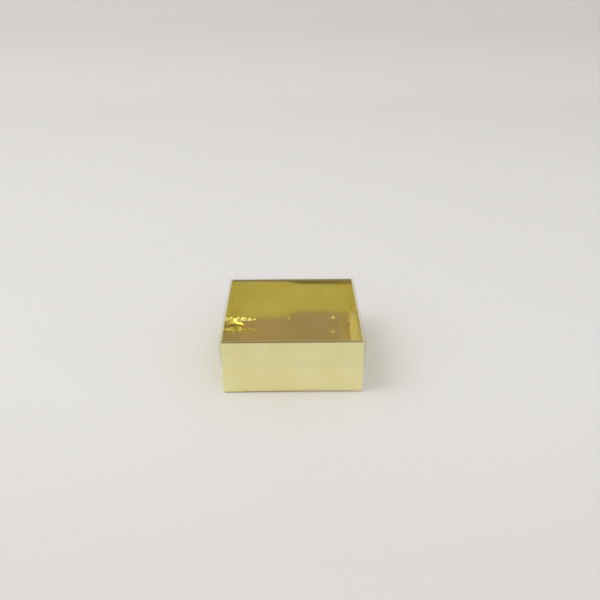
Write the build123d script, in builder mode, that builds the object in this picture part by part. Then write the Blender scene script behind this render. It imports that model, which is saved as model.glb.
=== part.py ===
"""Favor box: a folded tray of gold card under a lid of folded clear film.

Millimetres, +Z up, +Y to the back. The origin is at the middle of the box, on the surface it stands on.
Every panel between two creases is a piece of its own.
"""

import os

from build123d import *

# Gold card tray
tray_width = 60.0  # outside, left to right
tray_depth = 60.0  # outside, front to back
rim_height = 25.9  # top of the rolled front and back rims
side_wall_drop = 0.5  # from the rims' top down to the cut top edge of the single side walls
board = 0.45  # thickness of the card
crease_inside = 0.05  # inside radius of a sharp crease in card
flap_play = 0.1  # room beside a dust flap within a double wall
flap_length = 14.0  # reach of a dust flap along the front or back wall
flap_rim_drop = 0.6  # from the foot of the rolled rim down to a dust flap's top edge
flap_corner = 3.0  # rounding at a dust flap's free end
panel_floor_gap = 0.3  # under a roll-over panel's free edge, and under a dust flap
panel_side_gap = 0.4  # between a roll-over panel's end and the side wall
panel_corner = 1.0  # rounding of a roll-over panel's lower corners
rim_side_gap = 0.1  # between the end of a rolled rim and the side wall
hinge_gap = 0.05  # between a rolled rim's end and the round edge that turns below it

# Clear film lid
film = 0.3  # thickness of the film
film_crease_inside = 0.2  # inside radius of the creases round the lid's top
tab_crease_inside = 0.05  # inside radius of the upright creases at the lid's corners
lid_play = 0.25  # between the tray's side and the lid's corner tabs
lid_seat = 0.25  # between the rolled rims and the lid's underside
lid_depth = 13.2  # from the lid's top down to its lower edge
tab_length = 9.0  # reach of a corner tab along the side skirt
tab_inset = 0.8  # from the skirt's lower edge up to a tab's lower edge
tab_crease_drop = 0.4  # from the top crease down to a tab's upper edge
tab_corner = 1.5  # rounding at a tab's free end

# Worked out from the sizes above
half_width = tray_width / 2
half_depth = tray_depth / 2
crease_outside = crease_inside + board
crease_middle = crease_inside + board / 2
double_wall = 3 * board + flap_play
rim_radius = double_wall / 2
rim_foot = rim_height - rim_radius
side_wall_height = rim_height - side_wall_drop
hinge_height = rim_foot - hinge_gap - board / 2
hinge_depth = half_depth - double_wall + board / 2
panel_foot = board + panel_floor_gap
panel_half_length = half_width - board - panel_side_gap
flap_top = rim_foot - flap_rim_drop
side_wall_end = half_depth - board - crease_outside

lid_half_width = half_width + lid_play + 2 * film
lid_half_depth = half_depth + lid_play + 2 * film
lid_top = rim_height + lid_seat + film
lid_foot = lid_top - lid_depth
film_crease_outside = film_crease_inside + film
film_crease_middle = film_crease_inside + film / 2
tab_crease_outside = tab_crease_inside + film
tab_crease_middle = tab_crease_inside + film / 2
front_skirt_end = lid_half_width - film - tab_crease_outside
side_skirt_end = lid_half_depth - tab_crease_outside
tab_top = lid_top - film_crease_outside - tab_crease_drop
tab_foot = lid_foot + tab_inset

SIDES = ((-1, "left"), (1, "right"))
ENDS = ((-1, "front"), (1, "back"))


def keep(piece, name):
    """Label a finished piece and write it under the same name."""
    piece.part.label = name
    export_step(piece.part, f"parts/{name}.step")


os.makedirs("parts", exist_ok=True)

# Floor of the tray, between the four floor creases
with BuildPart() as floor_panel:
    with BuildSketch():
        Rectangle(2 * (half_width - crease_outside), 2 * (half_depth - crease_outside))
    extrude(amount=board)
keep(floor_panel, "floor_panel")

# Single side walls, each bent up from the floor along its crease
for side, side_name in SIDES:
    with BuildPart() as side_wall:
        with BuildSketch(Plane.XZ):
            with BuildLine():
                crease_centre = (side * (half_width - crease_outside), crease_outside)
                crease = CenterArc(crease_centre, crease_middle, 270, 90 * side)
                Line(crease @ 1, (side * (half_width - board / 2), side_wall_height))
            trace(line_width=board)
        extrude(amount=side_wall_end, both=True)
    keep(side_wall, f"{side_name}_wall")

# Front and back walls: the outer panel, the fold rolled over its top, and the panel that hangs inside
for end, end_name in ENDS:
    with BuildPart() as outer_wall:
        with BuildSketch(Plane.YZ):
            with BuildLine():
                crease_centre = (end * (half_depth - crease_outside), crease_outside)
                crease = CenterArc(crease_centre, crease_middle, 270, 90 * end)
                Line(crease @ 1, (end * (half_depth - board / 2), rim_foot))
            trace(line_width=board)
        extrude(amount=half_width, both=True)
    keep(outer_wall, f"{end_name}_outer_wall")

    with BuildPart() as rim:
        with BuildSketch(Plane.YZ):
            with BuildLine():
                CenterArc((end * (half_depth - rim_radius), rim_foot), rim_radius - board / 2, 0, 180)
            trace(line_width=board)
        extrude(amount=half_width - board - rim_side_gap, both=True)
    keep(rim, f"{end_name}_rim")

    # The inner panel's top edge is round about the crease that it swings on
    with BuildPart() as inner_wall:
        with BuildSketch(Plane.YZ):
            with Locations((end * hinge_depth, (panel_foot + hinge_height) / 2)):
                Rectangle(board, hinge_height - panel_foot)
            with Locations((end * hinge_depth, hinge_height)):
                Circle(board / 2)
        extrude(amount=panel_half_length, both=True)
        fillet(inner_wall.edges().filter_by(Axis.Y).group_by(Axis.Z)[0], panel_corner)
    keep(inner_wall, f"{end_name}_inner_wall")

# Dust flaps: each turns the corner from a side wall and lies inside a double wall
for end, end_name in ENDS:
    for side, side_name in SIDES:
        with BuildPart() as flap:
            with BuildSketch(Plane.XY.offset(panel_foot)):
                with BuildLine():
                    crease_centre = (side * (half_width - crease_outside), end * side_wall_end)
                    crease = CenterArc(crease_centre, crease_middle, 90 - 90 * side, 90 * side * end)
                    Line(crease @ 1, (crease @ 1) - (side * flap_length, 0))
                trace(line_width=board)
            extrude(amount=flap_top - panel_foot)
            free_end = flap.edges().filter_by(Axis.Y).sort_by(Axis.X, reverse=side < 0)[:2]
            fillet(free_end, flap_corner)
        keep(flap, f"{end_name}_{side_name}_flap")

# Top of the lid, between its four creases
with BuildPart() as lid_top_panel:
    with BuildSketch(Plane.XY.offset(lid_top - film)):
        Rectangle(2 * (lid_half_width - film_crease_outside), 2 * (lid_half_depth - film_crease_outside))
    extrude(amount=film)
keep(lid_top_panel, "lid_top_panel")

# Side skirts of the lid, bent down from its top
for side, side_name in SIDES:
    with BuildPart() as side_skirt:
        with BuildSketch(Plane.XZ):
            with BuildLine():
                crease_centre = (side * (lid_half_width - film_crease_outside), lid_top - film_crease_outside)
                crease = CenterArc(crease_centre, film_crease_middle, 90, -90 * side)
                Line(crease @ 1, (side * (lid_half_width - film / 2), lid_foot))
            trace(line_width=film)
        extrude(amount=side_skirt_end, both=True)
    keep(side_skirt, f"lid_{side_name}_skirt")

# Front and back skirts of the lid, and the corner tabs that turn from their ends behind the side skirts
for end, end_name in ENDS:
    with BuildPart() as end_skirt:
        with BuildSketch(Plane.YZ):
            with BuildLine():
                crease_centre = (end * (lid_half_depth - film_crease_outside), lid_top - film_crease_outside)
                crease = CenterArc(crease_centre, film_crease_middle, 90, -90 * end)
                Line(crease @ 1, (end * (lid_half_depth - film / 2), lid_foot))
            trace(line_width=film)
        extrude(amount=front_skirt_end, both=True)
    keep(end_skirt, f"lid_{end_name}_skirt")

    for side, side_name in SIDES:
        with BuildPart() as tab:
            with BuildSketch(Plane.XY.offset(tab_foot)):
                with BuildLine():
                    crease_centre = (side * front_skirt_end, end * side_skirt_end)
                    crease = CenterArc(crease_centre, tab_crease_middle, 90 * end, -90 * side * end)
                    Line(crease @ 1, (crease @ 1) - (0, end * tab_length))
                trace(line_width=film)
            extrude(amount=tab_top - tab_foot)
            free_end = tab.edges().filter_by(Axis.X).sort_by(Axis.Y, reverse=end < 0)[:2]
            fillet(free_end, tab_corner)
        keep(tab, f"lid_{end_name}_{side_name}_tab")

print("outside", 2 * lid_half_width, 2 * lid_half_depth, lid_top)
print("panel hinge at y", hinge_depth, "z", hinge_height)
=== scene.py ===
# %% [markdown]
# # A favor box in gold card and clear film
#
# The box is two folded blanks: an open tray of mirror-gold card, and a lid of clear film that drops over it.
# What looks like its top in a picture is the mirrored inside of the tray, seen through the lid. So the lesson
# is about thin folded sheets: their creases, the small bows and leans that bend a mirror's image, and their
# cut edges.
#
# The measured model comes first. It is loaded as a fixed frame, and the main sizes below are read from its
# pieces.

# %% Load the measured box
import math

import bpy
from mathutils import Matrix, Vector


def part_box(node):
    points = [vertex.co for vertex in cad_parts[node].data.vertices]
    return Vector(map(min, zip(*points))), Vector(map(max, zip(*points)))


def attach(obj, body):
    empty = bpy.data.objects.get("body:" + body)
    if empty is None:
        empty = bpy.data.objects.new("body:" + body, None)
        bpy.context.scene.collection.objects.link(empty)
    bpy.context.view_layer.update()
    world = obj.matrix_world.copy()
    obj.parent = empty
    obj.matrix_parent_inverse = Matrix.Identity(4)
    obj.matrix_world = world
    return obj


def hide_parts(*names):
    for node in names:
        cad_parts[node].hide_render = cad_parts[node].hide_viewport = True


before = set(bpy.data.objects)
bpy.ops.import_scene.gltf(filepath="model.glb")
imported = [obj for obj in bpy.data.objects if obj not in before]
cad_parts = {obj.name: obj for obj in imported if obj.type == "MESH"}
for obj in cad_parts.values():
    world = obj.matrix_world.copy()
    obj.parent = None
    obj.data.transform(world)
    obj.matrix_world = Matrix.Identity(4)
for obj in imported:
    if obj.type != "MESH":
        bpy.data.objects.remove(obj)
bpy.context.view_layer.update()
MM = 0.001

print("pieces in the frame:", len(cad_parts))

# %% [markdown]
# Reading sizes from the frame keeps the looks and the measured pieces together. A panel that is bent at a
# crease is described by its middle surface, halfway through the card, so radii here run to the middle of
# the sheet.

# %% Sizes of the tray and the lid
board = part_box("floor_panel")[1].z
half_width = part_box("front_outer_wall")[1].x
half_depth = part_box("back_outer_wall")[1].y
floor_half_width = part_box("floor_panel")[1].x
card_crease = half_width - floor_half_width - board / 2
side_wall_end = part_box("left_wall")[1].y
side_wall_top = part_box("left_wall")[1].z
rim_foot, rim_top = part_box("front_rim")[0].z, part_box("front_rim")[1].z
rim_crease = rim_top - rim_foot - board / 2
rim_half_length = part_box("front_rim")[1].x
panel_low, panel_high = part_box("back_inner_wall")
flap_low, flap_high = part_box("front_right_flap")

lid_low, lid_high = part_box("lid_top_panel")
film = lid_high.z - lid_low.z
lid_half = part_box("lid_right_skirt")[1].x
lid_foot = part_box("lid_right_skirt")[0].z
lid_crease = lid_half - lid_high.x - film / 2
tab_low, tab_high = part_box("lid_back_right_tab")
skirt_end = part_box("lid_front_skirt")[1].x
skirt_side_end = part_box("lid_right_skirt")[1].y
tab_crease = tab_high.x - skirt_end - film / 2

print(f"card {board / MM:.2f} mm, film {film / MM:.2f} mm, rim radius {rim_crease / MM:.2f} mm")

# %% [markdown]
# ## The camera
#
# The camera stands where the photograph was taken: a degree off square to the front, looking down at about
# 28 degrees, with a phone camera's wide view. It comes first, so that every later step can be judged in the
# picture's own frame.

# %% Camera
CAMERA_TILT = math.radians(27.99)
CAMERA_TURN = math.radians(-0.92)  # about the box's upright axis
CAMERA_DISTANCE = 302.6 * MM  # along the view, from the picture's middle to the level of the box
CAMERA_SIDE = 3.61 * MM
CAMERA_RISE = 26.24 * MM
FOCAL_PIXELS = 634.0
PICTURE_PIXELS = 600.0

spin = Matrix.Rotation(CAMERA_TURN, 3, "Z")
look = spin @ Vector((0, math.cos(CAMERA_TILT), -math.sin(CAMERA_TILT)))
rise = spin @ Vector((0, math.sin(CAMERA_TILT), math.cos(CAMERA_TILT)))
sideways = spin @ Vector((1, 0, 0))
camera_data = bpy.data.cameras.new("photo_camera")
camera_data.sensor_fit = "HORIZONTAL"
camera_data.lens = camera_data.sensor_width * FOCAL_PIXELS / PICTURE_PIXELS
camera = bpy.data.objects.new("photo_camera", camera_data)
camera.location = -look * CAMERA_DISTANCE + rise * CAMERA_RISE + sideways * CAMERA_SIDE
camera.rotation_euler = Matrix((sideways, rise, -look)).transposed().to_euler()
bpy.context.scene.collection.objects.link(camera)
bpy.context.scene.camera = camera
print("camera at", [round(c, 3) for c in camera.location])

# %% [markdown]
# ## Node helpers
#
# Materials and Geometry Nodes are both node trees, and most of their nodes are sums. A `Wire` wraps a socket
# so that ordinary Python sums add the Math nodes: `radius * angle.sin()` reads like the formula that it
# builds.


# %% Node helpers
def feed(tree, socket, value):
    """Link a socket to a wire or another socket, or set it to a plain value."""
    if isinstance(value, Wire):
        value = value.socket
    if isinstance(value, bpy.types.NodeSocket):
        tree.links.new(value, socket)
    else:
        socket.default_value = value


def add_node(tree, kind, inputs=None, **settings):
    """Add a node, set its properties, and feed its inputs by name or number."""
    node = tree.nodes.new(kind)
    for name, value in settings.items():
        setattr(node, name, value)
    for name, value in (inputs or {}).items():
        feed(tree, node.inputs[name], value)
    return node


class Wire:
    """A socket that takes part in sums; each sum adds one Math node."""

    def __init__(self, tree, socket):
        self.tree = tree
        self.socket = socket

    def sum(self, operation, *values):
        node = add_node(self.tree, "ShaderNodeMath", dict(enumerate(values)), operation=operation)
        return Wire(self.tree, node.outputs[0])

    def __add__(self, other):
        return self.sum("ADD", self, other)

    def __sub__(self, other):
        return self.sum("SUBTRACT", self, other)

    def __rsub__(self, other):
        return self.sum("SUBTRACT", other, self)

    def __mul__(self, other):
        return self.sum("MULTIPLY", self, other)

    def __truediv__(self, other):
        return self.sum("DIVIDE", self, other)

    def power(self, exponent):
        return self.sum("POWER", self, exponent)

    def sin(self):
        return self.sum("SINE", self)

    def cos(self):
        return self.sum("COSINE", self)

    def root(self):
        return self.sum("SQRT", self)

    def exp(self):
        return self.sum("EXPONENT", self)

    def least(self, other):
        return self.sum("MINIMUM", self, other)

    def most(self, other):
        return self.sum("MAXIMUM", self, other)

    def size(self):
        return self.sum("ABSOLUTE", self)

    def over(self, other):
        return self.sum("GREATER_THAN", self, other)

    def unit(self):
        return self.most(0.0).least(1.0)


def noise(tree, vector, scale, detail=2.0, roughness=0.5):
    """A noise texture's value, from 0 to 1."""
    inputs = {"Vector": vector, "Scale": scale, "Detail": detail, "Roughness": roughness}
    return Wire(tree, add_node(tree, "ShaderNodeTexNoise", inputs).outputs["Fac"])


def start_material(name):
    """A material with its Principled node, its object coordinates and its tree."""
    material = bpy.data.materials.new(name)
    material.use_nodes = True
    tree = material.node_tree
    place = add_node(tree, "ShaderNodeTexCoord").outputs["Object"]
    return material, tree, tree.nodes["Principled BSDF"], place


def fold_mark(tree):
    """The mark that the sheets below carry along their folds, 1 on the fold and 0 away from it."""
    return Wire(tree, add_node(tree, "ShaderNodeAttribute", attribute_name="fold").outputs["Fac"])


def blend_colours(tree, share, first, second):
    """Mix two colours by a share from 0 to 1."""
    node = add_node(tree, "ShaderNodeMix", {"Factor": share}, data_type="RGBA")
    for socket, colour in zip((node.inputs[6], node.inputs[7]), (first, second)):
        feed(tree, socket, (*colour, 1.0) if isinstance(colour, tuple) else colour)
    return node.outputs[2]


# %% [markdown]
# ## Gold card
#
# The card is paperboard under a metallised film, so it is a true mirror with a warm tint: blue is lost at
# every bounce, which is why the inside, seen after three or four bounces, is olive and brown while the front
# is pale. A metallic Principled shader does that by itself. The tint drifts a little over the sheet. The film
# follows the board's fibres, so its roughness and its bump carry a faint fine grain, and the metal is
# stretched dull along a crease.


# %% Gold card material
GOLD_PALE = (0.915, 0.855, 0.475)
GOLD_DEEP = (0.885, 0.815, 0.405)
CREASE_GOLD = (0.93, 0.88, 0.60)
CARD_CLOUDS = 90.0  # scales of the noise
CARD_FIBRES = 1400.0
CREASE_WEAR = 2600.0
WEAR_SHARE = 0.8
DEEP_CLOUD, PALE_CLOUD = 0.35, 0.65  # the clouds' values at which the tint is all deep or all pale
SMOOTH_ROUGHNESS = 0.065
CLOUD_ROUGHNESS = 0.03
FIBRE_ROUGHNESS = 0.02
WEAR_ROUGHNESS = 0.25
CARD_GRAIN = {"Strength": 0.03, "Distance": 0.02 * MM}


def gold_card_material():
    material, tree, shader, place = start_material("gold_card")
    cloud = noise(tree, place, CARD_CLOUDS)
    fibre = noise(tree, place, CARD_FIBRES, detail=3.0, roughness=0.6)
    wear = fold_mark(tree) * noise(tree, place, CREASE_WEAR, roughness=0.7) * WEAR_SHARE
    tone_inputs = {"Value": cloud, "From Min": DEEP_CLOUD, "From Max": PALE_CLOUD}
    tone = add_node(tree, "ShaderNodeMapRange", tone_inputs).outputs[0]
    gold = blend_colours(tree, tone, GOLD_DEEP, GOLD_PALE)
    feed(tree, shader.inputs["Base Color"], blend_colours(tree, wear, gold, CREASE_GOLD))
    dulled = cloud * CLOUD_ROUGHNESS + fibre * FIBRE_ROUGHNESS + wear * WEAR_ROUGHNESS
    feed(tree, shader.inputs["Roughness"], dulled + SMOOTH_ROUGHNESS)
    bump = add_node(tree, "ShaderNodeBump", {"Height": fibre, **CARD_GRAIN})
    feed(tree, shader.inputs["Normal"], bump.outputs[0])
    shader.inputs["Metallic"].default_value = 1.0
    return material


gold_card = gold_card_material()
print("gold card:", len(gold_card.node_tree.nodes), "nodes")

# %% [markdown]
# A cut edge shows the board's pale core. It is plain paper: matt, a little warm, with fibres that break it
# up.


# %% Card core material
CORE_PALE = (0.76, 0.71, 0.56)
CORE_DARK = (0.62, 0.57, 0.42)
CORE_FIBRES = 3000.0
CORE_ROUGHNESS = 0.85
CORE_GRAIN = {"Strength": 0.4, "Distance": 0.03 * MM}


def card_core_material():
    material, tree, shader, place = start_material("card_core")
    fibre = noise(tree, place, CORE_FIBRES, detail=3.0, roughness=0.7)
    feed(tree, shader.inputs["Base Color"], blend_colours(tree, fibre, CORE_DARK, CORE_PALE))
    bump = add_node(tree, "ShaderNodeBump", {"Height": fibre, **CORE_GRAIN})
    feed(tree, shader.inputs["Normal"], bump.outputs[0])
    shader.inputs["Roughness"].default_value = CORE_ROUGHNESS
    return material


card_core = card_core_material()
print("card core:", len(card_core.node_tree.nodes), "nodes")

# %% [markdown]
# ## Clear film
#
# The lid is thin clear film. Bending light through a third of a millimetre would change nothing that shows,
# so the shader only splits light in two: most goes straight on, and a share that grows towards the edge of
# sight is mirrored. Like Schlick's formula, that share is a small constant and a power of the angle, here of
# the Layer Weight node's Facing value. Creases are stretched film, which turns slightly milky, and so do the
# cut edges.


# %% Clear film material
FACE_ON_SHARE = 0.008
EDGE_ON_SHARE = 0.4
EDGE_ON_POWER = 7.0
PASSED_LIGHT = (0.993, 0.995, 0.995)
MILKY = (0.86, 0.87, 0.88)
FILM_WAVES = 500.0
FILM_ROUGHNESS = 0.02
FILM_GRAIN = {"Strength": 0.02, "Distance": 0.05 * MM}
CREASE_HAZE = 0.02
FACE_HAZE = 0.002
EDGE_HAZE = 0.12


def clear_film_material(name, haze):
    material, tree, shader, place = start_material(name)
    grain = noise(tree, place, FILM_WAVES, detail=3.0, roughness=0.6)
    bump = add_node(tree, "ShaderNodeBump", {"Height": grain, **FILM_GRAIN})
    facing = Wire(tree, add_node(tree, "ShaderNodeLayerWeight", {"Blend": 0.5}).outputs["Facing"])
    mirrored = facing.power(EDGE_ON_POWER) * EDGE_ON_SHARE + FACE_ON_SHARE
    straight = add_node(tree, "ShaderNodeBsdfTransparent", {"Color": (*PASSED_LIGHT, 1)})
    gloss_inputs = {"Roughness": FILM_ROUGHNESS, "Normal": bump.outputs[0]}
    gloss = add_node(tree, "ShaderNodeBsdfGlossy", gloss_inputs)
    sheet_inputs = {0: mirrored, 1: straight.outputs[0], 2: gloss.outputs[0]}
    sheet = add_node(tree, "ShaderNodeMixShader", sheet_inputs)
    milky = add_node(tree, "ShaderNodeBsdfDiffuse", {"Color": (*MILKY, 1)})
    share = (fold_mark(tree) * grain * CREASE_HAZE + haze).unit()
    whole = add_node(tree, "ShaderNodeMixShader", {0: share, 1: sheet.outputs[0], 2: milky.outputs[0]})
    tree.nodes.remove(shader)
    output = tree.nodes["Material Output"]
    tree.links.new(whole.outputs[0], output.inputs["Surface"])
    return material


clear_film = clear_film_material("clear_film", FACE_HAZE)
film_edge = clear_film_material("film_edge", EDGE_HAZE)
print("materials:", [m.name for m in bpy.data.materials])

# %% [markdown]
# ## One rule for every folded panel
#
# Every panel of the box follows the same rule: a strip of sheet starts flat, turns through a crease, runs
# straight for its height, and may roll over at the top. Geometry Nodes can hold that rule once. The inputs
# name the folds, the outline and the wear of a panel, and a panel sets only those that it needs.


# %% Inputs of the folded sheet
def new_tree(name, inputs):
    """A Geometry Nodes tree with named inputs, its input node as a dict of wires, and its output node."""
    tree = bpy.data.node_groups.new(name, "GeometryNodeTree")
    for label, kind, default in inputs:
        socket = tree.interface.new_socket(label, in_out="INPUT", socket_type=f"NodeSocket{kind}")
        if default is not None:
            socket.default_value = default
    tree.interface.new_socket("Mesh", in_out="OUTPUT", socket_type="NodeSocketGeometry")
    source = tree.nodes.new("NodeGroupInput")
    given = {label: Wire(tree, source.outputs[label]) for label, kind, default in inputs}
    return tree, given, tree.nodes.new("NodeGroupOutput")


SHEET_INPUTS = [
    ("Width", "Float", 0.058),
    ("Columns", "Int", 72),
    ("Base Rows", "Int", 0),
    ("Base Radius", "Float", 0.0),
    ("Base Angle", "Float", 0.0),
    ("Panel Rows", "Int", 48),
    ("Height", "Float", 0.024),
    ("Rim Rows", "Int", 0),
    ("Rim Radius", "Float", 0.0),
    ("Rim Angle", "Float", 0.0),
    ("Rim Inset", "Float", 0.0),
    ("Corner Radius", "Float", 0.0),
    ("Panel Inset", "Float", 0.0),
    ("Flare", "Float", 0.0),
    ("Foot Arch", "Float", 0.0),
    ("Edge Bow", "Float", 0.0),
    ("Belly", "Float", 0.0),
    ("Lean", "Float", 0.0),
    ("Lip", "Float", 0.0),
    ("Lip Reach", "Float", 0.001),
    ("Step Lean", "Float", 0.0),
    ("Step Place", "Float", 0.0),
    ("Step Width", "Float", 0.2),
    ("Curl", "Float", 0.0),
    ("Curl Reach", "Float", 0.001),
    ("Ear Depth", "Float", 0.0),
    ("Ear Width", "Float", 0.003),
    ("Ear Height", "Float", 0.003),
    ("Nicks", "Float", 0.0),
    ("Ripple", "Float", 0.0),
    ("Ripple Scale", "Float", 40.0),
    ("Seed", "Float", 0.0),
    ("Stop", "Float", -1.0),
]
print("a folded sheet has", len(SHEET_INPUTS), "inputs")

# %% [markdown]
# A used panel is not flat. Small bows, leans and ripples push the sheet along its normal, because a mirror
# shows a slope of one degree as a plain bend in its image. Each kind of wear is one term of a sum. A nick is
# a small pyramid, long along the panel, with a steep side that faces up and a gentler one below. The stop
# is how far back a sheet can be pushed before it meets the one behind it.


# %% Wear of the folded sheet
LIP_POWER, LIP_FADE = 8.0, 1.5  # a turned-in edge fades out before the ends of its panel
CURL_SWING = 1.4  # across a step the curl fades out and turns round
RIPPLE_RISE = 4.0  # ripples grow over the first quarter of a panel
NICK_TAIL = 0.45  # slope of a nick's gentle side, as a share of its steep side

# Along the panel, above its free edge, half the length, half the height, and depth (a dent is below 0)
NICKS = (
    (24.8 * MM, 2.9 * MM, 1.7 * MM, 0.9 * MM, -0.55 * MM),
    (22.4 * MM, 2.6 * MM, 2.2 * MM, 0.7 * MM, -0.42 * MM),
    (27.4 * MM, 3.2 * MM, 1.1 * MM, 0.9 * MM, -0.5 * MM),
    (27.3 * MM, 2.0 * MM, 1.1 * MM, 0.8 * MM, -0.42 * MM),
    (19.2 * MM, 3.0 * MM, 0.7 * MM, 0.4 * MM, -0.22 * MM),
    (1.3 * MM, 3.4 * MM, 0.7 * MM, 0.4 * MM, -0.22 * MM),
    (-20.9 * MM, 4.3 * MM, 1.1 * MM, 0.7 * MM, 0.42 * MM),
    (-27.3 * MM, 10.1 * MM, 1.0 * MM, 0.5 * MM, 0.31 * MM),
)


def sheet_push(tree, given, across, share, run):
    """How far a sheet is pushed along its normal, at a place across it and at a share of its height."""
    crown = 1 - across.power(2.0)
    flat = across * given["Width"] * 0.5
    above = given["Height"] - run
    push = given["Edge Bow"] * crown * share.power(2.0)
    push = push + given["Belly"] * crown * share * (1 - share) * 4.0
    push = push + given["Lean"] * share
    lip = (1 - above / given["Lip Reach"]).unit() * (1 - across.power(LIP_POWER) * LIP_FADE).unit()
    push = push - given["Lip"] * lip.power(2.0)
    step = ((across - given["Step Place"]) / given["Step Width"] + 0.5).unit()
    push = push + given["Step Lean"] * share * step.power(2.0) * (3 - step * 2.0)
    curl = 1 - (run / given["Curl Reach"] * -1.0).exp()
    push = push + given["Curl"] * curl * (1 - step * CURL_SWING)
    ear = 1 - (given["Width"] * 0.5 - flat) / given["Ear Width"] - above / given["Ear Height"]
    push = push - given["Ear Depth"] * ear.unit()
    for middle, height, half_length, half_height, depth in NICKS:
        higher = (above - height) * math.copysign(1, depth)
        beside = (flat - middle).size() / half_length
        beyond = higher.most(higher * -NICK_TAIL) / half_height
        push = push + given["Nicks"] * depth * (1 - beside - beyond).unit()
    vector = add_node(tree, "ShaderNodeCombineXYZ", {0: flat, 1: run, 2: given["Seed"]})
    wave = noise(tree, vector.outputs[0], given["Ripple Scale"], detail=1.0)
    push = push + given["Ripple"] * (wave - 0.5) * (share * RIPPLE_RISE).unit()
    return push.most(given["Stop"])


print("nicks:", len(NICKS))

# %% [markdown]
# The tree starts from a grid. Its columns run along the crease and its rows along the strip. Rows are shared
# out between the crease, the panel and the roll, and each row is moved to its place on the folded profile.
# The folds are marked for the materials.


# %% Geometry Nodes tree: the folded sheet
QUARTER = math.pi / 2
FOLD_REACH = 0.5 * MM
ARCH_POWER = 8.0  # keeps a foot's arch close to its crease


def folded_sheet_tree():
    tree, given, output = new_tree("folded_sheet", SHEET_INPUTS)
    rows = given["Base Rows"] + given["Panel Rows"] + given["Rim Rows"]
    grid = add_node(tree, "GeometryNodeMeshGrid", {"Size X": 1.0, "Size Y": 1.0})
    feed(tree, grid.inputs["Vertices X"], given["Columns"] + 1)
    feed(tree, grid.inputs["Vertices Y"], rows + 1)
    spot = add_node(tree, "GeometryNodeInputPosition").outputs[0]
    split = add_node(tree, "ShaderNodeSeparateXYZ", {0: spot})
    across = Wire(tree, split.outputs[0]) * 2.0
    row = (Wire(tree, split.outputs[1]) + 0.5) * rows

    base_turn = (row / given["Base Rows"]).unit() * given["Base Angle"]
    step = ((row - given["Base Rows"]) / given["Panel Rows"]).unit()
    share = (step * QUARTER).sin()
    run = share * given["Height"]
    past = row - given["Base Rows"] - given["Panel Rows"]
    rim_turn = (past / given["Rim Rows"]).unit() * given["Rim Angle"]
    turn = base_turn + rim_turn
    out = given["Base Radius"] * base_turn.sin() + run * base_turn.cos()
    out = out + given["Rim Radius"] * (turn.sin() - base_turn.sin())
    up = given["Base Radius"] * (1 - base_turn.cos()) + run * base_turn.sin()
    up = up + given["Rim Radius"] * (base_turn.cos() - turn.cos())
    up = up + given["Foot Arch"] * (1 - across.power(2.0)) * (1 - share).power(ARCH_POWER)

    radius = given["Corner Radius"]
    left = (radius - (given["Height"] - run)).most(0.0)
    corner = radius - (radius.power(2.0) - left.power(2.0)).most(0.0).root()
    inset = given["Panel Inset"] * (row / given["Base Rows"]).unit() + given["Rim Inset"] * past.over(0.5)
    half = given["Width"] * 0.5 - corner - inset + given["Flare"] * (1 - share)

    push = sheet_push(tree, given, across, share, run)
    place = add_node(tree, "ShaderNodeCombineXYZ", {0: across * half})
    feed(tree, place.inputs[1], (out + push * base_turn.sin()) * -1.0)
    feed(tree, place.inputs[2], up - push * base_turn.cos())
    move_inputs = {"Geometry": grid.outputs[0], "Position": place.outputs[0]}
    moved = add_node(tree, "GeometryNodeSetPosition", move_inputs)

    near_base = (1 - run / FOLD_REACH).unit() * given["Base Rows"].over(0.5)
    near_rim = (1 - (given["Height"] - run) / FOLD_REACH).unit() * given["Rim Rows"].over(0.5)
    mark_inputs = {"Geometry": moved.outputs[0], "Name": "fold", "Value": near_base.most(near_rim)}
    marked = add_node(tree, "GeometryNodeStoreNamedAttribute", mark_inputs)
    tree.links.new(marked.outputs[0], output.inputs[0])
    return tree


folded_sheet = folded_sheet_tree()
print("folded sheet:", len(folded_sheet.nodes), "nodes")

# %% [markdown]
# A middle surface becomes a sheet when its faces are pushed out by half the thickness and closed round the
# edge. A Solidify modifier could do it, but in the tree the new side faces can be marked as they are made.
# The mark gives the cut edges their own material and keeps them crisp, while the faces stay smooth for the
# mirror.


# %% Geometry Nodes tree: thickness and cut edges
WELD = 0.001 * MM
FINISH_INPUTS = [("Thickness", "Float", board), ("Face", "Material", None), ("Edge", "Material", None)]


def cut_edge_mark(tree):
    """The mark on the side faces of a thick sheet."""
    node = add_node(tree, "GeometryNodeInputNamedAttribute", {"Name": "cut_edge"}, data_type="BOOLEAN")
    return node.outputs["Attribute"]


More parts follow.
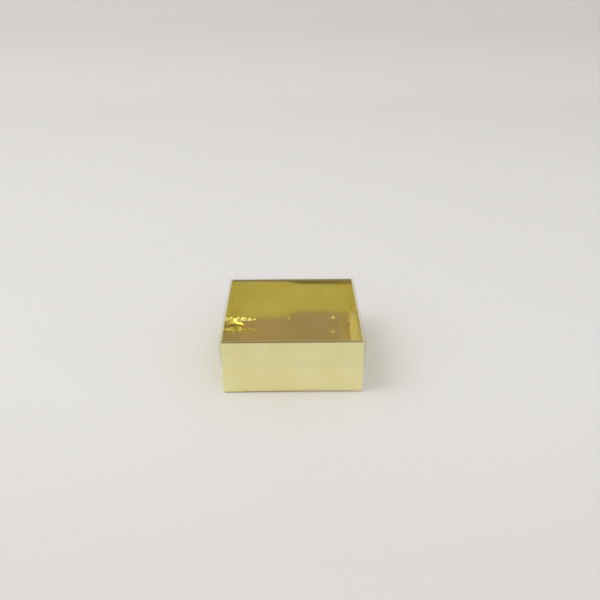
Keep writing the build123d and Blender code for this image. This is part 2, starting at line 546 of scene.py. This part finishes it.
def thick_sheet_tree():
    inputs = [("Sheet", "Geometry", None), ("Thickness", "Float", board)]
    tree, given, output = new_tree("thick_sheet", inputs)
    normal = add_node(tree, "GeometryNodeInputNormal").outputs[0]
    inward_inputs = {0: normal, "Scale": given["Thickness"] * -0.5}
    inward = add_node(tree, "ShaderNodeVectorMath", inward_inputs, operation="SCALE")
    inner_inputs = {"Geometry": given["Sheet"], "Offset": inward.outputs[0]}
    inner = add_node(tree, "GeometryNodeSetPosition", inner_inputs)
    outer_inputs = {"Mesh": inner.outputs[0], "Offset Scale": given["Thickness"], "Individual": False}
    outer = add_node(tree, "GeometryNodeExtrudeMesh", outer_inputs, mode="FACES")
    mark_inputs = {"Geometry": outer.outputs["Mesh"], "Name": "cut_edge", "Value": outer.outputs["Side"]}
    mark_kind = {"data_type": "BOOLEAN", "domain": "FACE"}
    marked = add_node(tree, "GeometryNodeStoreNamedAttribute", mark_inputs, **mark_kind)
    flipped = add_node(tree, "GeometryNodeFlipFaces", {"Mesh": inner.outputs[0]})
    both = add_node(tree, "GeometryNodeJoinGeometry", {0: flipped.outputs[0]})
    tree.links.new(marked.outputs[0], both.inputs[0])
    closed = add_node(tree, "GeometryNodeMergeByDistance", {"Geometry": both.outputs[0], "Distance": WELD})
    smooth = add_node(tree, "GeometryNodeSetShadeSmooth", {"Geometry": closed.outputs[0]}, domain="FACE")
    crisp_inputs = {"Geometry": smooth.outputs[0], "Selection": cut_edge_mark(tree), "Shade Smooth": False}
    crisp = add_node(tree, "GeometryNodeSetShadeSmooth", crisp_inputs, domain="EDGE")
    tree.links.new(crisp.outputs[0], output.inputs[0])
    return tree


def end_tree(tree, given, sheet, output):
    """Thicken a sheet, realize it and give its faces and cut edges their materials."""
    inputs = {"Sheet": sheet, "Thickness": given["Thickness"]}
    thick = add_node(tree, "GeometryNodeGroup", inputs, node_tree=thick_sheet)
    real = add_node(tree, "GeometryNodeRealizeInstances", {"Geometry": thick.outputs[0]})
    face_inputs = {"Geometry": real.outputs[0], "Material": given["Face"]}
    faces = add_node(tree, "GeometryNodeSetMaterial", face_inputs)
    edge_inputs = {"Geometry": faces.outputs[0], "Selection": cut_edge_mark(tree), "Material": given["Edge"]}
    edges = add_node(tree, "GeometryNodeSetMaterial", edge_inputs)
    tree.links.new(edges.outputs[0], output.inputs[0])


def panel_tree():
    tree, given, output = new_tree("panel", SHEET_INPUTS + FINISH_INPUTS)
    inputs = {label: given[label] for label, kind, default in SHEET_INPUTS}
    sheet = add_node(tree, "GeometryNodeGroup", inputs, node_tree=folded_sheet)
    end_tree(tree, given, sheet.outputs[0], output)
    return tree


thick_sheet = thick_sheet_tree()
panel = panel_tree()
print("node trees:", [tree.name for tree in bpy.data.node_groups])

# %% [markdown]
# A tree runs as a modifier. The piece then keeps the result as a plain mesh, with its place applied, and the
# modifier goes. Each piece stands in for the measured nodes of the same panel and rides on their body, so
# that it moves with them.

# %% Turn a tree into a piece
CARD_FINISH = {"Thickness": board, "Face": gold_card, "Edge": card_core}
FILM_FINISH = {"Thickness": film, "Face": clear_film, "Edge": film_edge}


def shape_piece(name, tree, place, values):
    """Run a tree with the given inputs, keep its mesh in place, and drop the modifier."""
    piece = bpy.data.objects.new(name, bpy.data.meshes.new(name))
    bpy.context.scene.collection.objects.link(piece)
    modifier = piece.modifiers.new("shape", "NODES")
    modifier.node_group = tree
    for item in tree.interface.items_tree:
        if item.in_out == "INPUT" and item.name in values:
            modifier[item.identifier] = values[item.name]
    shaped = piece.evaluated_get(bpy.context.evaluated_depsgraph_get())
    mesh = bpy.data.meshes.new_from_object(shaped)
    piece.modifiers.clear()
    empty_mesh = piece.data
    piece.data = mesh
    bpy.data.meshes.remove(empty_mesh)
    mesh.name = name
    mesh.transform(place)
    return piece


def dress(piece, body, slot, *nodes):
    """Stand a piece in for its measured nodes, on their body. The slot is not used."""
    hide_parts(*nodes)
    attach(piece, body)
    print(piece.name, len(piece.data.polygons), "faces for", ", ".join(nodes))


def shape_panel(name, place, values, finish):
    """A panel whose inputs are named as in Python: step_lean stands for Step Lean."""
    inputs = {label.replace("_", " ").title(): value for label, value in values.items()}
    return shape_piece(name, panel, place, inputs | finish)


def card_piece(name, body, nodes, place, **values):
    """A panel of the gold card."""
    dress(shape_panel(name, place, values, CARD_FINISH), body, "gold_card", *nodes)


def film_piece(name, nodes, place, **values):
    """A panel of the clear film."""
    dress(shape_panel(name, place, values, FILM_FINISH), "lid", "clear_film", *nodes)


def turned(angle, x, y, z, first=Matrix()):
    """A place reached by a first turn, a shift, and then a turn about the box's upright axis."""
    return Matrix.Rotation(math.radians(angle), 4, "Z") @ Matrix.Translation((x, y, z)) @ first


# %% [markdown]
# ## The tray
#
# The floor is the middle of the blank. Card that has been folded up on all four sides is never quite flat, so
# the floor rises a little towards its middle, and its front edge arches up by a third of a millimetre. That
# arch makes the thin dark line under the front of the box.

# %% Floor of the tray
WALL_FOOT_IN = 0.25 * MM
FOOT_CREASE = 1.0 * MM
FRONT_ARCH = 0.32 * MM
FLOOR_RISE = 0.15 * MM
floor_edge = half_depth - board / 2 - FOOT_CREASE
card_piece(
    "tray_floor",
    "tray",
    ["floor_panel"],
    turned(180, 0, floor_edge, board / 2),
    width=2 * (floor_half_width - WALL_FOOT_IN),
    height=2 * floor_edge,
    panel_rows=72,
    belly=-FLOOR_RISE,
    foot_arch=FRONT_ARCH,
)

# %% [markdown]
# The side walls are single card with a plain cut edge on top. Nothing stiffens them, so they lean outwards,
# from a foot that is drawn in a little to a top that nearly touches the lid. A shear matrix on the finished
# panel leans it, and the dust flaps that turn from it later take the same one. The right wall also bellies
# out, and its top edge turns in, which gives the bright strip in its image a brown margin.

# %% Side walls
WALL_LEAN = 0.45 * MM
WALL_BOW = 0.1 * MM
WALL_RIPPLE = 0.06 * MM
WALL_RIPPLE_SCALE = 90.0
WALL_SEED = 3.0
right_form = {"belly": 0.08 * MM, "lip": 0.12 * MM, "lip_reach": 8.0 * MM}


def leaning(side):
    """Lean what belongs to a side wall outwards, about its drawn-in foot."""
    slope = side * WALL_LEAN / side_wall_top
    return Matrix(((1, 0, slope, -side * WALL_FOOT_IN), (0, 1, 0, 0), (0, 0, 1, 0), (0, 0, 0, 1)))


for angle, side, name, form in ((-90, -1, "left_wall", {}), (90, 1, "right_wall", right_form)):
    card_piece(
        f"tray_{name}",
        "tray",
        [name],
        leaning(side) @ turned(angle, 0, -floor_half_width, board / 2),
        width=2 * side_wall_end,
        base_rows=8,
        base_radius=card_crease,
        base_angle=QUARTER,
        height=side_wall_top - board / 2 - card_crease,
        edge_bow=WALL_BOW,
        ripple=WALL_RIPPLE,
        ripple_scale=WALL_RIPPLE_SCALE,
        seed=WALL_SEED,
        **form,
    )

# %% [markdown]
# The front and back walls are double. The outer panel rises from the floor and rolls over at the rim, as one
# sheet with two folds, so it is made as one piece. The roll is a little shorter than the wall, to pass
# between the side walls, and that leaves the small notch at each top corner. The front wall's foot follows
# the floor's arch.

# %% Front and back walls with their rolled rims
for angle, end, arch in ((0, "front", FRONT_ARCH), (180, "back", 0.0)):
    card_piece(
        f"tray_{end}_wall",
        "tray",
        [f"{end}_outer_wall", f"{end}_rim"],
        turned(angle, 0, -floor_edge, board / 2),
        width=2 * half_width,
        base_rows=12,
        base_radius=FOOT_CREASE,
        base_angle=QUARTER,
        height=rim_foot - board / 2 - FOOT_CREASE,
        rim_rows=16,
        rim_radius=rim_crease,
        rim_angle=math.pi,
        rim_inset=half_width - rim_half_length,
        foot_arch=arch,
    )

# %% [markdown]
# From the rim, a panel hangs down inside each double wall and hides the dust flaps. It is only tucked in, so
# it is never flat. The left half of the back one leans further in than the right half, which steps the border
# in its image. Its right half curls under the rim, its lower left corner is bent back like a dog ear until it
# meets the flap behind it, and handling has left small nicks whose slopes catch the light. Each is a term in
# the sheet's rule, with its size in millimetres, so the glints move as they should when the panel swings.
# The panels stand all but on the floor and against the walls, because a gap there would show as a dark line.

# %% Inner panels
PANEL_CORNER = 0.8 * MM
PANEL_OVERLAP = 0.1 * MM  # over the crease that a panel swings on
PANEL_END_GAP = 0.02 * MM
PANEL_FOOT_GAP = 0.01 * MM
hang = Matrix.Rotation(QUARTER, 4, "X")
panel_depth = (panel_low.y + panel_high.y) / 2
panel_top = panel_high.z - board / 2 + PANEL_OVERLAP
panel_half_length = half_width - board - WALL_FOOT_IN - PANEL_END_GAP
panel_foot = board + PANEL_FOOT_GAP
front_form = {"lean": 0.1 * MM}
back_form = {
    "columns": 300,
    "panel_rows": 130,
    "lean": 0.05 * MM,
    "step_lean": 0.65 * MM,
    "step_place": 0.0,
    "step_width": 0.3,
    "curl": 0.16 * MM,
    "curl_reach": 2.4 * MM,
    "ear_depth": 0.85 * MM,
    "ear_width": 4.6 * MM,
    "ear_height": 4.2 * MM,
    "nicks": 1.0,
    "stop": -0.02 * MM,
}
for angle, end, lift, form in ((0, "front", FRONT_ARCH, front_form), (180, "back", 0.0, back_form)):
    card_piece(
        f"{end}_panel",
        f"{end}_panel",
        [f"{end}_inner_wall"],
        turned(angle, 0, -panel_depth, panel_top, hang),
        width=2 * panel_half_length,
        height=panel_top - panel_foot - lift,
        corner_radius=PANEL_CORNER,
        flare=WALL_LEAN,
        **form,
    )

# %% [markdown]
# Four dust flaps turn the corners from the side walls. They show only when a panel is swung up, but without
# them the double walls would be empty.

# %% Dust flaps
FLAP_CORNER = 3.0 * MM
flap_middle = (flap_low.z + flap_high.z) / 2
for angle, side, wall_side, name in (
    (0, -1, -1, "front_left_flap"),
    (0, 1, 1, "front_right_flap"),
    (180, -1, 1, "back_right_flap"),
    (180, 1, -1, "back_left_flap"),
):
    wall_middle = side * (half_width - board / 2)
    upright = Matrix.Rotation(-side * QUARTER, 4, "Y")
    card_piece(
        f"tray_{name}",
        "tray",
        [name],
        leaning(wall_side) @ turned(angle, wall_middle, -side_wall_end, flap_middle, upright),
        width=flap_high.z - flap_low.z,
        columns=40,
        base_rows=8,
        base_radius=card_crease,
        base_angle=QUARTER,
        panel_rows=32,
        height=floor_half_width - flap_low.x,
        corner_radius=FLAP_CORNER,
    )

# %% [markdown]
# ## The lid
#
# The lid is one sheet of film: a top with four skirts creased down from it. A crease joins the top along its
# whole length, so the top and the skirts are welded into one surface before it gets its thickness, and no
# wall is left inside the film. One skirt is made for each pair of sides and set twice, half a turn apart, on
# two points.


# %% Geometry Nodes tree: the lid
LID_INPUTS = [
    ("Half Width", "Float", 0.03),
    ("Cells", "Int", 60),
    ("Crease Radius", "Float", 0.0003),
    ("Skirt Height", "Float", 0.013),
    ("End Inset", "Float", 0.0),
    ("Sag", "Float", 0.0),
]


def lid_top(tree, given):
    """The flat top, let down a little in the middle."""
    count = given["Cells"] + 1
    width = given["Half Width"] * 2.0
    grid_inputs = {"Size X": width, "Size Y": width, "Vertices X": count, "Vertices Y": count}
    grid = add_node(tree, "GeometryNodeMeshGrid", grid_inputs)
    spot = add_node(tree, "GeometryNodeInputPosition").outputs[0]
    split = add_node(tree, "ShaderNodeSeparateXYZ", {0: spot})
    sides = [1 - (Wire(tree, split.outputs[axis]) / given["Half Width"]).power(2.0) for axis in range(2)]
    drop = add_node(tree, "ShaderNodeCombineXYZ", {2: given["Sag"] * sides[0] * sides[1] * -1.0})
    inputs = {"Geometry": grid.outputs[0], "Offset": drop.outputs[0]}
    return add_node(tree, "GeometryNodeSetPosition", inputs).outputs[0]


def lid_skirts(tree, given, first_turn, inset):
    """Two opposite skirts, set by half turns from a first turn."""
    inputs = {
        "Width": given["Half Width"] * 2.0,
        "Columns": given["Cells"],
        "Base Rows": 8,
        "Base Radius": given["Crease Radius"],
        "Base Angle": QUARTER,
        "Panel Rows": 24,
        "Height": given["Skirt Height"],
        "Panel Inset": inset,
    }
    sheet = add_node(tree, "GeometryNodeGroup", inputs, node_tree=folded_sheet)
    to_edge = add_node(tree, "ShaderNodeCombineXYZ", {1: given["Half Width"] * -1.0})
    hung_inputs = {"Geometry": sheet.outputs[0], "Translation": to_edge.outputs[0]}
    hung_inputs["Rotation"] = (0, math.pi, 0)
    hung = add_node(tree, "GeometryNodeTransform", hung_inputs)
    pair = add_node(tree, "GeometryNodeMeshLine", {"Count": 2, "Offset": (0, 0, 0)})
    index = Wire(tree, add_node(tree, "GeometryNodeInputIndex").outputs[0])
    turn = add_node(tree, "ShaderNodeCombineXYZ", {2: index * math.pi + first_turn})
    inputs = {"Points": pair.outputs[0], "Instance": hung.outputs[0], "Rotation": turn.outputs[0]}
    return add_node(tree, "GeometryNodeInstanceOnPoints", inputs).outputs[0]


def lid_shell_tree():
    tree, given, output = new_tree("lid_shell", LID_INPUTS + FINISH_INPUTS)
    whole = add_node(tree, "GeometryNodeJoinGeometry", {0: lid_top(tree, given)})
    tree.links.new(lid_skirts(tree, given, 0.0, given["End Inset"]), whole.inputs[0])
    tree.links.new(lid_skirts(tree, given, QUARTER, given["End Inset"] * -1.0), whole.inputs[0])
    real = add_node(tree, "GeometryNodeRealizeInstances", {"Geometry": whole.outputs[0]})
    welded = add_node(tree, "GeometryNodeMergeByDistance", {"Geometry": real.outputs[0], "Distance": WELD})
    end_tree(tree, given, welded.outputs[0], output)
    return tree


# %% Lid shell
LID_SAG = 0.2 * MM
lid_middle = lid_high.z - film / 2
lid_values = {
    "Half Width": lid_high.x,
    "Crease Radius": lid_crease,
    "Skirt Height": lid_middle - lid_crease - lid_foot,
    "End Inset": lid_high.x - skirt_end,
    "Sag": LID_SAG,
}
lid_place = Matrix.Translation((0, 0, lid_middle))
lid_shell = shape_piece("lid_shell", lid_shell_tree(), lid_place, lid_values | FILM_FINISH)
lid_sides = [f"lid_{side}_skirt" for side in ("front", "back", "left", "right")]
dress(lid_shell, "lid", "clear_film", "lid_top_panel", *lid_sides)

# %% [markdown]
# At each corner a tab turns from the end of the front or back skirt and is glued behind the side skirt. That
# makes the corner a double layer of film, which is why it looks a little greyer.

# %% Lid tabs
TAB_CORNER = 1.5 * MM
tab_middle = (tab_low.z + tab_high.z) / 2
for angle, side, name in (
    (0, -1, "lid_front_left_tab"),
    (0, 1, "lid_front_right_tab"),
    (180, -1, "lid_back_right_tab"),
    (180, 1, "lid_back_left_tab"),
):
    upright = Matrix(((0, -side, 0, 0), (0, 0, 1, 0), (-side, 0, 0, 0), (0, 0, 0, 1)))
    film_piece(
        name.replace("lid_", "lid_corner_"),
        [name],
        turned(angle, side * skirt_end, -(lid_half - film / 2), tab_middle, upright),
        width=tab_high.z - tab_low.z,
        columns=24,
        base_rows=6,
        base_radius=tab_crease,
        base_angle=QUARTER,
        panel_rows=20,
        height=skirt_side_end - tab_low.y,
        corner_radius=TAB_CORNER,
    )

# %% [markdown]
# ## Floor, backdrop and light
#
# A pale sweep stands in for the table and the wall: a floor that curves up behind, so that no line crosses
# the picture. A mirror box shows mostly its surroundings, so the sweep is also what colours the gold. The
# paper is painted darker in front of the box and where it stands upright: that is painted shade, in place
# of the light falling off there.


# %% Floor and backdrop
SWEEP_SIDE = 3.0
SWEEP_FRONT = -3.0
SWEEP_BACK = 0.6
SWEEP_RADIUS = 0.25
SWEEP_TOP = 0.9
SWEEP_STEPS = 24
PAPER_DIM = (0.815, 0.805, 0.795)
PAPER_PALE = (0.84, 0.83, 0.82)
# painted shade: the paper is darker towards the camera, in place of less light in front of the box
PAINTED_FRONT_SHADE = (0.775, 0.76, 0.75)
# painted shade: the upright back is greyer, in place of the wall getting less light than the floor
PAINTED_UPRIGHT_SHADE = (0.72, 0.71, 0.70)
PAPER_CLOUDS = 3.0
PAPER_ROUGHNESS = 0.9
FRONT_SHADE_START, FRONT_SHADE_END = -0.03, -0.12  # from the middle of the box towards the camera
UPRIGHT_SHADE_HEIGHT = 0.08


def paper_material():
    material, tree, shader, place = start_material("pale_paper")
    split = add_node(tree, "ShaderNodeSeparateXYZ", {0: place})
    # painted shade, darker from the middle of the box towards the camera
    front_shade_inputs = {"Value": split.outputs[1], "From Min": FRONT_SHADE_START, "From Max": FRONT_SHADE_END}
    front = add_node(tree, "ShaderNodeMapRange", front_shade_inputs).outputs[0]
    # painted shade, greyer up the upright back
    upright_shade_inputs = {"Value": split.outputs[2], "From Max": UPRIGHT_SHADE_HEIGHT}
    upright = add_node(tree, "ShaderNodeMapRange", upright_shade_inputs).outputs[0]
    paper = blend_colours(tree, noise(tree, place, PAPER_CLOUDS), PAPER_DIM, PAPER_PALE)
    paper = blend_colours(tree, front, paper, PAINTED_FRONT_SHADE)
    feed(tree, shader.inputs["Base Color"], blend_colours(tree, upright, paper, PAINTED_UPRIGHT_SHADE))
    shader.inputs["Roughness"].default_value = PAPER_ROUGHNESS
    return material


def sweep_profile():
    """The sweep from the side, as y and z: a flat floor, a quarter round and an upright back."""
    profile = [(SWEEP_FRONT, 0.0)]
    for step in range(SWEEP_STEPS + 1):
        angle = QUARTER * step / SWEEP_STEPS
        round_y = SWEEP_BACK + SWEEP_RADIUS * math.sin(angle)
        profile.append((round_y, SWEEP_RADIUS * (1 - math.cos(angle))))
    profile.append((SWEEP_BACK + SWEEP_RADIUS, SWEEP_TOP))
    return profile


def paper_sweep():
    profile = sweep_profile()
    points = [(x, y, z) for y, z in profile for x in (-SWEEP_SIDE, SWEEP_SIDE)]
    faces = [(2 * i, 2 * i + 1, 2 * i + 3, 2 * i + 2) for i in range(len(profile) - 1)]
    mesh = bpy.data.meshes.new("paper_sweep")
    mesh.from_pydata(points, [], faces)
    mesh.polygons.foreach_set("use_smooth", [True] * len(faces))
    mesh.materials.append(paper_material())
    sweep = bpy.data.objects.new("paper_sweep", mesh)
    bpy.context.scene.collection.objects.link(sweep)
    print("paper sweep:", len(faces), "faces")


paper_sweep()

# %% [markdown]
# Most of the light is an even pale room all round, with a soft key lamp at the upper left and a small fill in
# front on the right. A mirror needs something darker to show as well: the room is shaded in a band behind the
# camera and over the box, and that band is the brown in the tray and the dark line on the rims. Past the
# paper's edge the camera itself sees plain pale grey.


# %% Lamps
KEY = {"place": (-0.8, -0.2, 1.15), "size": 0.8, "power": 4.2}
FILL = {"place": (0.35, -0.9, 1.0), "size": 0.3, "power": 1.2}


def soft_light(name, place, size, power):
    """A square area lamp that looks at the box."""
    lamp = bpy.data.lights.new(name, "AREA")
    lamp.size = size
    lamp.energy = power
    stand = bpy.data.objects.new(name, lamp)
    stand.location = place
    stand.rotation_euler = (-Vector(place)).to_track_quat("-Z", "Y").to_euler()
    bpy.context.scene.collection.objects.link(stand)


soft_light("key", **KEY)
soft_light("fill", **FILL)
print("lamps:", [lamp.name for lamp in bpy.data.lights])

# %% [markdown]
# The band's edges are places on a sphere of directions: how far to the side and how high a direction points,
# from -1 to 1. Each pair below is where a smooth step starts and where it ends.


# %% Room
ROOM = (0.90, 0.895, 0.89)
LEFT_SHADE = (0.44, 0.32, 0.315)
RIGHT_SHADE = (0.395, 0.315, 0.33)
CEILING_SHADE = (0.25, 0.22, 0.16)
LOW_SHADE = (0.22, 0.18, 0.11)
PAST_PAPER = (0.68, 0.67, 0.66)
LEFT_EDGE = (-0.107, -0.122)
RIGHT_EDGE = (0.24, 0.30)
MIDDLE_EDGE = (-0.015, 0.015)  # from the left shade to the right one
CEILING_EDGE = (0.58, 0.70)
LOW_EDGE = (0.44, 0.38)
SHIFT_EDGE, BAND_SHIFT = (0.54, 0.62), 0.08  # higher up, the band lies further left


def ramp(tree, value, edge):
    """A smooth step from 0 to 1 between the two values of an edge."""
    inputs = {"Value": value, "From Min": edge[0], "From Max": edge[1]}
    node = add_node(tree, "ShaderNodeMapRange", inputs, interpolation_type="SMOOTHSTEP")
    return Wire(tree, node.outputs[0])


def pale_room():
    """An even pale room, shaded in a band behind the camera and over the box."""
    room = bpy.data.worlds.new("pale_room")
    room.use_nodes = True
    tree = room.node_tree
    direction = add_node(tree, "ShaderNodeTexCoord").outputs["Generated"]
    split = add_node(tree, "ShaderNodeSeparateXYZ", {0: direction})
    aside = Wire(tree, split.outputs[0])
    height = split.outputs[2]
    shifted = aside + ramp(tree, height, SHIFT_EDGE) * BAND_SHIFT
    outside = ramp(tree, shifted, LEFT_EDGE).most(ramp(tree, shifted, RIGHT_EDGE))
    shade = blend_colours(tree, ramp(tree, aside, MIDDLE_EDGE), LEFT_SHADE, RIGHT_SHADE)
    shade = blend_colours(tree, ramp(tree, height, LOW_EDGE), shade, LOW_SHADE)
    shade = blend_colours(tree, ramp(tree, height, CEILING_EDGE), shade, CEILING_SHADE)
    colour = blend_colours(tree, outside, shade, ROOM)
    seen = add_node(tree, "ShaderNodeLightPath").outputs["Is Camera Ray"]
    colour = blend_colours(tree, seen, colour, PAST_PAPER)
    tree.links.new(colour, tree.nodes["Background"].inputs["Color"])
    bpy.context.scene.world = room
    print("room:", len(tree.nodes), "nodes")


pale_room()
bpy.context.scene.view_settings.view_transform = "Standard"

# %% [markdown]
# Light that goes between mirrors and through film meets many surfaces, so the path tracer is allowed more
# mirrored and see-through steps than it takes by default.

# %% Light paths
paths = bpy.context.scene.cycles
paths.max_bounces = 24
paths.glossy_bounces = 12
paths.transparent_max_bounces = 32
print("bounces:", paths.max_bounces, "of which mirrored:", paths.glossy_bounces)
